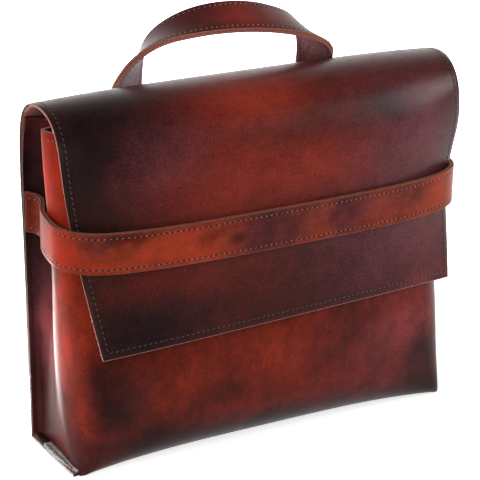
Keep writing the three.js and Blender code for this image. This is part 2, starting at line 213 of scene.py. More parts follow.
def cut_edges(piece):
    """The sheet's open edge as runs between its corners: (places, normals) in order, with the
    leather on the left-hand side of the way that they run, seen from the grain side."""
    mesh = piece.data
    ways = {}
    for face in mesh.polygons:
        around = list(face.vertices)
        for a, b in zip(around, around[1:] + around[:1]):
            ways[(a, b)] = face.normal.copy()
    onward = {a: (b, normal) for (a, b), normal in ways.items() if (b, a) not in ways}
    runs = []
    while onward:
        start = next(iter(onward))
        chain, normals, here = [start], [], start
        while here in onward:
            here, normal = onward.pop(here)
            chain.append(here)
            normals.append(normal)
        if chain[0] != chain[-1]:
            print(piece.name, "has an edge that doesn't close")
        places = [mesh.vertices[index].co.copy() for index in chain]
        steps = [(b - a).normalized() for a, b in zip(places, places[1:])]
        corners = [i for i in range(len(steps)) if steps[i - 1].angle(steps[i], 0) > CORNER_TURN]
        corners = corners or [0]
        for one, other in zip(corners, corners[1:] + [corners[0] + len(steps)]):
            indexes = range(one, other)
            run = [places[i % len(steps)] for i in indexes] + [places[other % len(steps)]]
            facing = [normals[i % len(steps)] for i in indexes]
            runs.append((run, facing + [facing[-1]]))
    return runs


def run_length(run):
    return sum((b - a).length for a, b in zip(run[0], run[0][1:]))


# %% From the sheet to the finished piece
EDGE_SOFT = 0.5 * MM
EDGE_SHARP = math.radians(60)
SMOOTH_ANGLE = math.radians(42)
GRAIN, FLESH, RIM, FOURTH = range(4)


def mark_rim(piece, runs):
    """Each point's distance to the cut edge, which the leather's finish reads as "rim"."""
    points = []
    for places, _ in runs:
        for a, b in zip(places, places[1:]):
            count = max(1, math.ceil((b - a).length / MM))
            points += [a.lerp(b, step / count) for step in range(count)]
    tree = KDTree(len(points))
    for index, point in enumerate(points):
        tree.insert(point, index)
    tree.balance()
    mesh = piece.data
    distances = [tree.find(vertex.co)[2] for vertex in mesh.vertices]
    attribute = mesh.attributes.new("rim", "FLOAT", "POINT")
    attribute.data.foreach_set("value", np.array(distances, np.float32))


def thicken(piece, thickness, runs, finishes, dark_edge=None):
    """Gives a sheet its thickness on the flesh side, its edge and its three finishes. A fourth
    finish goes on the part of the edge that dark_edge picks out by its place in mm."""
    for finish in finishes:
        piece.data.materials.append(finish)
    apply(piece, "SOLIDIFY", thickness=thickness, offset=-1, use_even_offset=True,
          material_offset=FLESH, material_offset_rim=RIM)
    apply(piece, "BEVEL", width=EDGE_SOFT, segments=2, limit_method="ANGLE",
          angle_limit=EDGE_SHARP, material=RIM)
    if dark_edge:
        for face in piece.data.polygons:
            if face.material_index == RIM and dark_edge(face.center / MM):
                face.material_index = FOURTH
    take(piece)
    bpy.ops.object.shade_smooth_by_angle(angle=SMOOTH_ANGLE)
    mark_rim(piece, runs)
    triangles = sum(len(face.vertices) - 2 for face in piece.data.polygons)
    print(piece.name, "finished:", triangles, "triangles")


# %% [markdown]
# ## Finishes
# The hide is dyed by hand: a deep brown ground, rubbed through to red in broad soft clouds and
# burnished nearly black towards the edges. The clouds are placed as soft ellipsoids, whose edges
# are broken up by noise, so they sit on this bag where the maker's cloth left them. One cloud on
# the left gusset is not dye but a painted sheen, and two broad low clouds on the body simply make
# it darker and cooler towards the bottom. What several leathers share is made once as a node group:
# a cloud, the fine grain, and the edge's burnish with the groove under the stitches.

# %% Placing nodes
def put(tree, kind, inputs=(), **settings):
    """A new node. Inputs are values, or sockets that are linked to it."""
    made = tree.nodes.new(kind)
    for name, value in settings.items():
        setattr(made, name, value)
    for name, value in dict(inputs).items():
        if isinstance(value, bpy.types.NodeSocket):
            tree.links.new(value, made.inputs[name])
        else:
            made.inputs[name].default_value = value
    return made


def new_group(name, inputs, outputs):
    """An empty node group. Inputs are (name, kind, value), outputs are (name, kind)."""
    group = bpy.data.node_groups.new(name, "ShaderNodeTree")
    for label, kind, value in inputs:
        socket = group.interface.new_socket(label, in_out="INPUT", socket_type=kind)
        if value is not None:
            socket.default_value = value
    for label, kind in outputs:
        group.interface.new_socket(label, in_out="OUTPUT", socket_type=kind)
    return group, group.nodes.new("NodeGroupInput"), group.nodes.new("NodeGroupOutput")


FLOAT, VECTOR = "NodeSocketFloat", "NodeSocketVector"

# %% A soft cloud of dye, also used for a painted sheen
cloud_group, given, out = new_group(
    "dye and sheen cloud",
    [("Place", VECTOR, None), ("Centre", VECTOR, None), ("Reach", VECTOR, (1, 1, 1)),
     ("Strength", FLOAT, 1), ("Before", FLOAT, 0)],
    [("Tone", FLOAT)])
away = put(cloud_group, "ShaderNodeVectorMath",
           {0: given.outputs["Place"], 1: given.outputs["Centre"]}, operation="SUBTRACT")
scaled = put(cloud_group, "ShaderNodeVectorMath",
             {0: away.outputs[0], 1: given.outputs["Reach"]}, operation="DIVIDE")
far = put(cloud_group, "ShaderNodeVectorMath", {0: scaled.outputs[0]}, operation="LENGTH")
fading = put(cloud_group, "ShaderNodeMapRange",
             {"Value": far.outputs["Value"], "From Min": 1, "From Max": 0},
             interpolation_type="SMOOTHSTEP")
tone = put(cloud_group, "ShaderNodeMath",
           {0: fading.outputs[0], 1: given.outputs["Strength"], 2: given.outputs["Before"]},
           operation="MULTIPLY_ADD")
cloud_group.links.new(tone.outputs[0], out.inputs["Tone"])
print(cloud_group.name, "has", len(cloud_group.nodes), "nodes")

# %% The fine grain
grain_group, given, out = new_group(
    "leather grain", [("Place", VECTOR, None), ("Streak", VECTOR, (1, 1, 1))],
    [("Height", FLOAT), ("Speck", FLOAT), ("Mottle", FLOAT), ("Patch", FLOAT), ("Brush", FLOAT)])
noises = {}
for label, scale, detail, roughness in (("Speck", 620, 2, 0.6), ("Mottle", 85, 5, 0.65),
                                        ("Patch", 21, 4, 0.6), ("Pore", 2300, 2, 0.5)):
    noises[label] = put(grain_group, "ShaderNodeTexNoise",
                        {"Vector": given.outputs["Place"], "Scale": scale, "Detail": detail,
                         "Roughness": roughness}).outputs["Fac"]
drawn = put(grain_group, "ShaderNodeVectorMath",
            {0: given.outputs["Place"], 1: given.outputs["Streak"]}, operation="MULTIPLY")
noises["Brush"] = put(grain_group, "ShaderNodeTexNoise",
                      {"Vector": drawn.outputs[0], "Scale": 60, "Detail": 5,
                       "Roughness": 0.6}).outputs["Fac"]
pebbles = put(grain_group, "ShaderNodeTexVoronoi",
              {"Vector": given.outputs["Place"], "Scale": 900, "Smoothness": 0.6},
              feature="SMOOTH_F1")
height = put(grain_group, "ShaderNodeMath",
             {0: noises["Pore"], 1: 0.6, 2: pebbles.outputs["Distance"]}, operation="MULTIPLY_ADD")
grain_group.links.new(height.outputs[0], out.inputs["Height"])
for label in ("Speck", "Mottle", "Patch", "Brush"):
    spread = put(grain_group, "ShaderNodeMapRange",
                 {"Value": noises[label], "From Min": 0.3, "From Max": 0.7,
                  "To Min": -0.5, "To Max": 0.5}, clamp=True)
    grain_group.links.new(spread.outputs[0], out.inputs[label])
print(grain_group.name, "has", len(grain_group.nodes), "nodes")

# %% The burnished edge and the stitch groove
GROOVE_HALF = 1.3 * MM
edge_group, given, out = new_group(
    "edge burnish", [("Inset", FLOAT, 6 * MM), ("Reach", FLOAT, 16 * MM)],
    [("Burnish", FLOAT), ("Groove", FLOAT)])
rim = put(edge_group, "ShaderNodeAttribute", attribute_name="rim")
burnish = put(edge_group, "ShaderNodeMapRange",
              {"Value": rim.outputs["Fac"], "From Min": given.outputs["Reach"], "From Max": 0},
              interpolation_type="SMOOTHSTEP")
from_seam = put(edge_group, "ShaderNodeMath",
                {0: rim.outputs["Fac"], 1: given.outputs["Inset"]}, operation="SUBTRACT")
apart = put(edge_group, "ShaderNodeMath", {0: from_seam.outputs[0]}, operation="ABSOLUTE")
groove = put(edge_group, "ShaderNodeMapRange",
             {"Value": apart.outputs[0], "From Min": GROOVE_HALF, "From Max": 0},
             interpolation_type="SMOOTHSTEP")
edge_group.links.new(burnish.outputs[0], out.inputs["Burnish"])
edge_group.links.new(groove.outputs[0], out.inputs["Groove"])
print(edge_group.name, "has", len(edge_group.nodes), "nodes")

# %% One leather, with its own clouds
BREAK_UP = 0.05
ROUGH_LOW, ROUGH_HIGH = 0.29, 0.41
GROOVE_SINK = -5.0
GRAIN_STRENGTH = 0.25
GRAIN_DEPTH = 0.1 * MM
MIX_A, MIX_B, MIX_RESULT = 6, 7, 2


def ramp_of(tree, level, tones):
    """A colour for a level between dark, 0, and bright, 1. Tones are (position, colour)."""
    ramp = put(tree, "ShaderNodeValToRGB", {"Fac": level})
    ramp.color_ramp.interpolation = "B_SPLINE"
    stops = ramp.color_ramp.elements
    for index, (position, colour) in enumerate(tones):
        stop = stops[index] if index < 2 else stops.new(position)
        stop.position = position
        stop.color = (*colour, 1)
    return ramp.outputs["Color"]


def clouds_on(tree, place, level, clouds):
    """Adds clouds, (x, y, z, reach x, y, z, strength) in mm, to a level."""
    for x, y, z, reach_x, reach_y, reach_z, strength in clouds:
        cloud = put(tree, "ShaderNodeGroup", node_tree=cloud_group, inputs={
            "Place": place, "Centre": Vector((x, y, z)) * MM, "Strength": strength,
            "Reach": Vector((reach_x, reach_y, reach_z)) * MM, "Before": level})
        level = cloud.outputs["Tone"]
    return level


def grain_leather(name, warm, cool, ground, clouds, coolness, cool_clouds, shares, inset, streak,
                  gloss):
    """Burnished leather: two rows of tones, warm and cool, that clouds and noises mix. Shares are
    those of the speck, mottle, patch, brush, burnish and groove."""
    finish = bpy.data.materials.new(name)
    finish.use_nodes = True
    tree = finish.node_tree
    shader = tree.nodes["Principled BSDF"]
    place = put(tree, "ShaderNodeTexCoord").outputs["Object"]
    wander = put(tree, "ShaderNodeTexNoise",
                 {"Vector": place, "Scale": 17, "Detail": 5, "Roughness": 0.6})
    pushed = put(tree, "ShaderNodeVectorMath",
                 {0: wander.outputs["Color"], 1: (0.5, 0.5, 0.5)}, operation="SUBTRACT")
    warped = put(tree, "ShaderNodeVectorMath",
                 {0: pushed.outputs[0], 1: (BREAK_UP,) * 3, 2: place}, operation="MULTIPLY_ADD")
    level = clouds_on(tree, warped.outputs[0], ground, clouds)
    cooling = clouds_on(tree, warped.outputs[0], coolness, cool_clouds)
    grain = put(tree, "ShaderNodeGroup", {"Place": place, "Streak": streak}, node_tree=grain_group)
    edge = put(tree, "ShaderNodeGroup", {"Inset": inset}, node_tree=edge_group)
    labels = ("Speck", "Mottle", "Patch", "Brush", "Burnish", "Groove")
    for label, share in zip(labels, shares):
        source = edge if label in ("Burnish", "Groove") else grain
        level = put(tree, "ShaderNodeMath", {0: source.outputs[label], 1: share, 2: level},
                    operation="MULTIPLY_ADD").outputs[0]
    colour = put(tree, "ShaderNodeMix", {"Factor": cooling, MIX_A: ramp_of(tree, level, warm),
                                         MIX_B: ramp_of(tree, level, cool)}, data_type="RGBA")
    tree.links.new(colour.outputs[MIX_RESULT], shader.inputs["Base Color"])
    rough = put(tree, "ShaderNodeMapRange",
                {"Value": grain.outputs["Mottle"], "From Min": -0.5, "From Max": 0.5,
                 "To Min": ROUGH_LOW, "To Max": ROUGH_HIGH})
    tree.links.new(rough.outputs[0], shader.inputs["Roughness"])
    shader.inputs["Specular IOR Level"].default_value = gloss
    pressed = put(tree, "ShaderNodeMath",
                  {0: edge.outputs["Groove"], 1: GROOVE_SINK, 2: grain.outputs["Height"]},
                  operation="MULTIPLY_ADD")
    bump = put(tree, "ShaderNodeBump", {"Height": pressed.outputs[0], "Strength": GRAIN_STRENGTH,
                                        "Distance": GRAIN_DEPTH})
    tree.links.new(bump.outputs["Normal"], shader.inputs["Normal"])
    return finish


# %% [markdown]
# The cut edge shows the raw middle of the hide, pale and a little fibrous, and the flesh side is a
# dull suede. Both are plain mixes of two colours by noise, with a rough surface. The same recipe
# serves the waxed thread, the dark awl holes and the moulded rail. The body's flesh side is nearly
# black as painted shade, for the darkness deep inside the bag, and the awl holes' near black is the
# painted shade of the slits.

# %% A plain finish
MATT_GLOSS = 0.2


def mottled(name, dark, light, scale, roughness, depth, sheen=0.0):
    """A matt finish between two colours, spread by a noise that also gives a depth in mm."""
    finish = bpy.data.materials.new(name)
    finish.use_nodes = True
    tree = finish.node_tree
    shader = tree.nodes["Principled BSDF"]
    place = put(tree, "ShaderNodeTexCoord").outputs["Object"]
    fibre = put(tree, "ShaderNodeTexNoise",
                {"Vector": place, "Scale": scale, "Detail": 5, "Roughness": 0.65})
    ramp = put(tree, "ShaderNodeValToRGB", {"Fac": fibre.outputs["Fac"]})
    ramp.color_ramp.elements[0].position = 0.3
    ramp.color_ramp.elements[0].color = (*dark, 1)
    ramp.color_ramp.elements[1].position = 0.7
    ramp.color_ramp.elements[1].color = (*light, 1)
    tree.links.new(ramp.outputs["Color"], shader.inputs["Base Color"])
    bump = put(tree, "ShaderNodeBump",
               {"Height": fibre.outputs["Fac"], "Strength": 0.6, "Distance": depth * MM})
    tree.links.new(bump.outputs["Normal"], shader.inputs["Normal"])
    shader.inputs["Roughness"].default_value = roughness
    shader.inputs["Sheen Weight"].default_value = sheen
    shader.inputs["Specular IOR Level"].default_value = MATT_GLOSS
    return finish


# %% Cut edges, flesh sides, thread and rail
raw_edge_pink = mottled("cut edge pink", (0.22, 0.07, 0.055), (0.50, 0.25, 0.22), 700, 0.75, 0.2)
raw_edge_brown = mottled("cut edge brown", (0.07, 0.020, 0.014), (0.34, 0.14, 0.10), 800, 0.75, 0.2)
raw_edge_grey = mottled("cut edge grey", (0.16, 0.10, 0.095), (0.46, 0.36, 0.35), 600, 0.75, 0.2)
raw_edge_red = mottled("cut edge red", (0.17, 0.045, 0.030), (0.48, 0.19, 0.14), 800, 0.75, 0.2)
raw_edge_pale = mottled("cut edge pale", (0.20, 0.17, 0.16), (0.80, 0.76, 0.74), 330, 0.8, 0.3)
raw_edge_dark = mottled("cut edge dark", (0.008, 0.006, 0.006), (0.05, 0.017, 0.013), 450, 0.7, 0.2)
suede_red = mottled("flesh side red", (0.16, 0.11, 0.11), (0.42, 0.07, 0.03), 90, 0.9, 0.3,
                    sheen=0.2)
# painted shade: the body's flesh side, nearly black for the darkness deep inside the bag
body_flesh_shade = mottled("flesh side painted shade", (0.010, 0.006, 0.005), (0.05, 0.014, 0.010), 120, 0.9, 0.3)
suede_plum = mottled("flesh side plum", (0.060, 0.020, 0.020), (0.21, 0.085, 0.085), 420, 0.9, 0.3)
suede_mauve = mottled("flesh side mauve", (0.17, 0.115, 0.13), (0.34, 0.235, 0.255), 420, 0.9, 0.3,
                      sheen=0.2)
thread_pale = mottled("waxed thread pale", (0.16, 0.12, 0.115), (0.42, 0.35, 0.33), 1500, 0.6, 0.1)
thread_grey = mottled("waxed thread grey", (0.06, 0.05, 0.05), (0.18, 0.15, 0.145), 1500, 0.6, 0.1)
thread_dark = mottled("waxed thread black", (0.006,) * 3, (0.03, 0.025, 0.024), 1500, 0.5, 0.1)
# painted shade: the near black of a pricking iron's slit, laid on the leather as a flat shape
awl_hole_shade = mottled("awl hole painted shade", (0.004, 0.003, 0.003), (0.012, 0.007, 0.006), 900, 0.8, 0.05)
rail_black = mottled("moulded black", (0.014, 0.014, 0.015), (0.03, 0.03, 0.031), 2200, 0.5, 0.12)
print(len(bpy.data.materials), "plain finishes")

# %% [markdown]
# The leathers differ in their dye. Each has a row of warm tones, from nearly black to red, and the
# same row of cool ones, which the worn and shaded places show. A cloud raises or lowers the level
# on the row, and its numbers are its centre and its reach in mm, and its strength.

# %% Tones of the dye
WARM_DARK = ((0.0, (0.009, 0.006, 0.006)), (1.0, (0.36, 0.036, 0.012)),
             (0.25, (0.026, 0.010, 0.009)), (0.5, (0.085, 0.012, 0.007)),
             (0.75, (0.19, 0.018, 0.008)))
WARM_BRIGHT = ((0.0, (0.007, 0.005, 0.005)), (1.0, (0.66, 0.024, 0.013)),
               (0.25, (0.034, 0.010, 0.007)), (0.5, (0.125, 0.016, 0.007)),
               (0.7, (0.26, 0.037, 0.013)), (0.86, (0.43, 0.044, 0.017)))
WARM_RED = ((0.0, (0.007, 0.005, 0.005)), (1.0, (0.62, 0.022, 0.012)),
            (0.25, (0.034, 0.009, 0.006)), (0.5, (0.115, 0.011, 0.005)),
            (0.7, (0.25, 0.024, 0.008)), (0.86, (0.42, 0.032, 0.011)))
COOL = ((0.0, (0.006, 0.004, 0.005)), (1.0, (0.24, 0.070, 0.080)),
        (0.3, (0.030, 0.010, 0.012)), (0.6, (0.12, 0.028, 0.036)))
print("tones in each row:", [len(tones) for tones in (WARM_DARK, WARM_BRIGHT, WARM_RED, COOL)])

# %% Clouds on the flap and the back
FLAP_CLOUDS = (
    (-5, -32, 318, 95, 45, 42, 0.44),
    (-60, -42, 312, 70, 40, 40, 0.14),
    (-40, -62, 256, 155, 60, 78, 0.33),
    (-125, -48, 295, 60, 40, 50, 0.10),
    (55, -60, 250, 85, 50, 48, 0.18),
    (-160, -35, 312, 95, 60, 65, -0.32),
    (-190, -48, 250, 55, 50, 100, -0.20),
    (-150, -58, 232, 50, 40, 35, -0.10),
    (85, -42, 312, 60, 40, 34, 0.08),
    (112, -52, 297, 55, 40, 26, -0.22),
    (140, -50, 275, 110, 60, 100, 0.14),
    (195, -45, 255, 40, 50, 80, -0.16),
    (0, -70, 150, 320, 60, 75, -0.06),
    (-80, -68, 174, 120, 40, 34, 0.14),
    (-140, -71, 140, 100, 40, 40, -0.24),
    (150, -64, 126, 50, 40, 24, 0.20),
    (120, -62, 170, 100, 50, 60, 0.12),
    (0, 47, 130, 400, 25, 260, -0.05),
)
FLAP_COOL = (
    (-130, -50, 290, 80, 50, 70, 0.7),
    (150, -50, 280, 120, 70, 130, 0.9),
    (105, -62, 165, 140, 50, 85, 0.9),
    (-120, -71, 135, 110, 40, 45, 0.4),
)
print("flap:", len(FLAP_CLOUDS), "clouds and", len(FLAP_COOL), "cool ones")

# %% Clouds on the body
BODY_CLOUDS = (
    (-186, -40, 135, 50, 40, 130, 0.23),
    (-195, -25, 262, 45, 45, 90, 0.42),
    (-194, -2, 265, 20, 18, 80, 0.28),
    (-192, 40, 300, 20, 14, 24, 0.35),
    (-190, 34, 40, 40, 46, 90, -0.15),
    (190, 34, 40, 40, 46, 90, -0.15),
    (-184, -38, 60, 24, 24, 32, 0.18),
    (-190, -16, 140, 30, 22, 120, 0.34),
    # painted sheen: lightens the left gusset's valley, where a soft glow lies beside the ridge's
    # light line
    (-185, 24, 98, 26, 26, 66, 0.52),
    (-170, -57, 106, 26, 26, 30, -0.30),
    (-163, -61, 70, 46, 30, 36, -0.25),
    (-98, -70, 80, 52, 30, 36, 0.08),
    (-63, -70, 60, 42, 30, 24, -0.16),
    (-118, -64, 36, 66, 30, 30, -0.26),
    (-5, -71, 98, 80, 40, 44, 0.13),
    (70, -69, 108, 28, 30, 44, -0.12),
    (132, -66, 94, 44, 30, 48, 0.20),
    (165, -60, 45, 50, 40, 64, -0.26),
    # darker towards the bottom, across the whole front
    (0, -55, 2, 340, 70, 46, -0.48),
    (-190, 46, 250, 60, 40, 140, -0.40),
    (190, 46, 250, 60, 40, 140, -0.45),
)
BODY_COOL = (
    (130, -65, 80, 130, 50, 90, 0.55),
    # cooler towards the bottom, across the whole front
    (0, -55, 5, 340, 70, 60, 0.6),
    (-190, 34, 150, 50, 46, 260, 0.9),
    (190, 34, 150, 50, 60, 260, 0.9),
    (-160, -62, 70, 50, 30, 50, 0.4),
)
print("body:", len(BODY_CLOUDS), "clouds and", len(BODY_COOL), "cool ones")

# %% Clouds on the strap and the handle
STRAP_CLOUDS = (
    (-202, -40, 212, 52, 45, 60, 0.26),
    (-177, -61, 224, 34, 20, 13, -0.16),
    (-148, -67, 222, 34, 20, 12, -0.22),
    (-173, -62, 198, 36, 20, 14, 0.16),
    (-95, -70, 208, 60, 30, 34, 0.24),
    (-70, -71, 214, 18, 20, 10, -0.18),
    (-50, -71, 206, 14, 20, 9, -0.14),
    (-8, -70, 209, 60, 30, 40, -0.26),
    (67, -68, 210, 36, 30, 30, -0.22),
    (147, -60, 214, 20, 25, 13, -0.20),
    (120, -64, 206, 40, 30, 30, -0.06),
    (182, -52, 212, 30, 30, 40, 0.12),
    (-192, 30, 220, 40, 25, 60, -0.08),
)
STRAP_COOL = (
    (-8, -70, 209, 70, 30, 40, 0.75),
    (67, -68, 210, 46, 30, 30, 0.7),
    (130, -62, 212, 60, 30, 30, 0.35),
    (-177, -61, 224, 34, 20, 13, 0.5),
)
HANDLE_CLOUDS = (
    (10, 25, 372, 50, 40, 40, 0.25),
    (-95, 48, 270, 60, 40, 60, -0.1),
)
HANDLE_COOL = (
    (-70, 32, 352, 50, 40, 40, 0.15),
    (80, 32, 345, 40, 40, 40, 0.25),
)
print("strap and handle:", len(STRAP_CLOUDS) + len(HANDLE_CLOUDS), "clouds and",
      len(STRAP_COOL) + len(HANDLE_COOL), "cool ones")

# %% The four leathers
FLAP_INSET = 6 * MM
STRAP_INSET = 4.5 * MM
HANDLE_INSET = 4 * MM
BODY_INSET = 4 * MM
flap_leather = grain_leather(
    "flap leather", WARM_DARK, COOL, 0.42, FLAP_CLOUDS, 0.1, FLAP_COOL,
    (0.24, 0.07, 0.08, 0.05, -0.03, -0.05), FLAP_INSET, streak=(0.35, 1, 6), gloss=0.12)
body_leather = grain_leather(
    "body leather", WARM_RED, COOL, 0.46, BODY_CLOUDS, 0.04, BODY_COOL,
    (0.15, 0.10, 0.16, 0.05, 0, -0.05), BODY_INSET, streak=(2.5, 1, 0.35), gloss=0.06)
strap_leather = grain_leather(
    "strap leather", WARM_BRIGHT, COOL, 0.65, STRAP_CLOUDS, 0.04, STRAP_COOL,
    (0.14, 0.09, 0.16, 0.08, -0.04, -0.05), STRAP_INSET, streak=(0.4, 1, 5), gloss=0.05)
handle_leather = grain_leather(
    "handle leather", WARM_DARK, COOL, 0.48, HANDLE_CLOUDS, 0.12, HANDLE_COOL,
    (0.22, 0.10, 0.10, 0.08, -0.03, -0.05), HANDLE_INSET, streak=(0.4, 1, 3), gloss=0.10)
print(len(bpy.data.materials), "finishes")

# %% [markdown]
# ## Back and flap
# One hide runs from the bottom of the back over the ridge to the hem in front. Its sheet is
# taken from the CAD solid, smoothed by subdivision and thickened. Its cut edge is pale pink in
# front and stained dark behind.

# %% Back and flap
LEATHER = 2.5 * MM
SMOOTH_LEVELS = 2
FLAP_DARK_FROM = 16

flap = grain_side("back_flap", "flap_hide", (0, -66, 250), (0, -1, 0))
apply(flap, "SUBSURF", levels=SMOOTH_LEVELS, render_levels=SMOOTH_LEVELS,
      boundary_smooth="PRESERVE_CORNERS")
flap_runs = cut_edges(flap)
flap_tree = BVHTree.FromObject(flap, bpy.context.evaluated_depsgraph_get())
print("flap edge runs in mm:", [round(run_length(run) / MM) for run in flap_runs])
thicken(flap, LEATHER, flap_runs, (flap_leather, suede_red, raw_edge_pink, raw_edge_dark),
        lambda place: place.y > FLAP_DARK_FROM)

# %% [markdown]
# ## Body
# The second hide makes the front and both folded gussets, and stays open at the top. The gussets
# are cut off level just above the floor, where their margins are added as plies of their own. The
# fold's valley and the rim are smoothed as by hand, because leather doesn't crease sharply there.

# %% Body
FOLD_SIDE = 150 * MM
FOOT = 5.3 * MM
FOOT_FRONT = -30 * MM
body = grain_side("body", "body_hide", (0, -70, 100), (0, -1, 0))


def on_gusset(face):
    return abs(face.center.x) > FOLD_SIDE and face.center.y > FOOT_FRONT


def lowest(face):
    return min(body.data.vertices[index].co.z for index in face.vertices)


choose(body, "FACE", lambda face: on_gusset(face) and lowest(face) < FOOT)
bpy.ops.mesh.bisect(plane_co=(0, 0, FOOT), plane_no=(0, 0, 1))
leave()
choose(body, "FACE", lambda face: on_gusset(face) and face.center.z < FOOT)
bpy.ops.mesh.delete(type="FACE")
leave()
print("body hide:", len(body.data.polygons), "faces above the feet")

# %% Fold, rim and thickness of the body
FOLD_FRONT, FOLD_BACK, FOLD_TOP = 1 * MM, 36 * MM, 190 * MM
FOLD_EASE = 12
RIM_LEVEL = 290 * MM
RIM_EASE = 2
BODY_DARK_FROM, BODY_DARK_BELOW = 14, 200
choose(body, "VERT", lambda point: abs(point.co.x) > FOLD_SIDE and point.co.z < FOLD_TOP
       and FOLD_FRONT < point.co.y < FOLD_BACK)
bpy.ops.mesh.vertices_smooth(factor=0.5, repeat=FOLD_EASE, xaxis=True, yaxis=True, zaxis=False)
leave()
choose(body, "VERT", lambda point: abs(point.co.x) > FOLD_SIDE and point.co.z > RIM_LEVEL
       and point.co.y < FOLD_FRONT)
bpy.ops.mesh.vertices_smooth(factor=0.5, repeat=RIM_EASE, xaxis=True, yaxis=True, zaxis=False)
leave()
apply(body, "SUBSURF", levels=SMOOTH_LEVELS, render_levels=SMOOTH_LEVELS,
      boundary_smooth="PRESERVE_CORNERS")
body_runs = cut_edges(body)
body_tree = BVHTree.FromObject(body, bpy.context.evaluated_depsgraph_get())
print("body edge runs in mm:", [round(run_length(run) / MM) for run in body_runs])
# the body's flesh side gets the nearly black painted shade of the bag's inside
thicken(body, LEATHER, body_runs, (body_leather, body_flesh_shade, raw_edge_grey, raw_edge_dark),
        lambda place: place.y > BODY_DARK_FROM or place.z < BODY_DARK_BELOW)

# %% [markdown]
# The bottom is a flat ply, taken from the flat underside of the solid, whose thin slivers at the
# corners are merged away. Beside it each gusset's margin is turned outwards and sewn down: two
# narrow plies, whose pale raw leather shows except at the back, where it is stained. Each starts
# as a cube that is drawn out to its size, cut into short lengths and pushed a little out of line
# at every outer point, because a knife leaves no straight edge.

# %% Bottom
FLAT = math.radians(8)
BOTTOM_PLY = 2.4 * MM
BOTTOM_WELD = 1.6 * MM
BOTTOM_PALE_FRONT, BOTTOM_PALE_BACK = -35, 40
bottom = grain_side("body", "bottom_ply", (0, 0, 0), (0, 0, -1), FLAT)
choose(bottom, "FACE", everything)
bpy.ops.mesh.remove_doubles(threshold=BOTTOM_WELD)
bpy.ops.mesh.dissolve_degenerate(threshold=BOTTOM_WELD / 4)
leave()
bottom_runs = cut_edges(bottom)
thicken(bottom, BOTTOM_PLY, bottom_runs, (body_leather, suede_red, raw_edge_pale, raw_edge_dark),
        lambda place: place.y < BOTTOM_PALE_FRONT or place.y > BOTTOM_PALE_BACK)

# %% Margins
MARGIN_INNER = 184 * MM
MARGIN_OUTER = 192.3 * MM
MARGIN_TAPER = 1.0 * MM
MARGIN_TIPS = ((34, 0.6), (24, 0.7), (15, 0.8), (8, 1.0), (4, 1.2), (1.5, 1.4))
MARGIN_FRONT = -37 * MM
MARGIN_BACK = 44 * MM
MARGIN_PLIES = ((0.1 * MM, 2.35 * MM), (2.55 * MM, 4.9 * MM))
MARGIN_FRAY = 0.55 * MM
FRAY_SEED = 5
MARGIN_DARK = 22 * MM
MARGIN_CUTS = 79
MARGIN_LONG = 50 * MM
MARGIN_ROUND = 0.3 * MM
ROUND_ANGLE = math.radians(50)


def margin_ply(name, sign, low, high):
    """One ply of a margin, left for sign -1 and right for 1. Its outer edge is drawn in at the
    front and rounded at both tips, where the steps add up."""
    bpy.ops.object.select_all(action="DESELECT")
    bpy.ops.mesh.primitive_cube_add(size=1, location=(0, 0, 0))
    ply = bpy.context.object
    ply.name = ply.data.name = name
    choose(ply, "VERT", everything)
    bpy.ops.transform.resize(value=(MARGIN_OUTER - MARGIN_INNER, MARGIN_BACK - MARGIN_FRONT,
                                    high - low))
    middle = (MARGIN_INNER + MARGIN_OUTER) / 2
    bpy.ops.transform.translate(value=(sign * middle, (MARGIN_FRONT + MARGIN_BACK) / 2,
                                       (low + high) / 2))
    leave()
    choose(ply, "VERT", lambda point: abs(point.co.x) > middle and point.co.y < 0)
    bpy.ops.transform.translate(value=(-sign * MARGIN_TAPER, 0, 0))
    leave()
    mesh = ply.data
    choose(ply, "EDGE", lambda edge: abs(mesh.vertices[edge.vertices[0]].co.y
                                         - mesh.vertices[edge.vertices[1]].co.y) > MARGIN_LONG)
    bpy.ops.mesh.subdivide(number_cuts=MARGIN_CUTS)
    leave()
    for length, step in MARGIN_TIPS:
        choose(ply, "VERT", lambda point: abs(point.co.x) > middle and (
            point.co.y < MARGIN_FRONT + length * MM or point.co.y > MARGIN_BACK - length * MM))
        bpy.ops.transform.translate(value=(-sign * step * MM, 0, 0))
        leave()
    choose(ply, "VERT", lambda point: abs(point.co.x) > middle)
    bpy.ops.transform.vertex_random(offset=MARGIN_FRAY, uniform=0.4, seed=FRAY_SEED)
    leave()
    mesh.materials.append(raw_edge_pale)
    mesh.materials.append(raw_edge_dark)
    apply(ply, "BEVEL", width=MARGIN_ROUND, segments=2, limit_method="ANGLE",
          angle_limit=ROUND_ANGLE)
    for face in mesh.polygons:
        face.material_index = int(face.center.y > MARGIN_DARK)
    take(ply)
    bpy.ops.object.shade_smooth_by_angle(angle=SMOOTH_ANGLE)
    return ply


margins = [margin_ply(side + "_margin_" + level, sign, *heights)
           for side, sign in (("left", -1), ("right", 1))
           for level, heights in zip(("low", "high"), MARGIN_PLIES)]
print([(ply.name, len(ply.data.polygons)) for ply in margins])

# %% [markdown]
# ## Strap and handle
# Both are two plies sewn back to back. The outer ply shows the grain, the lining its flesh side.
# A strip of even rows bends smoothly along its way, so each ply gets rows before it is smoothed.
# The handle's lining is stained redder on its right half.

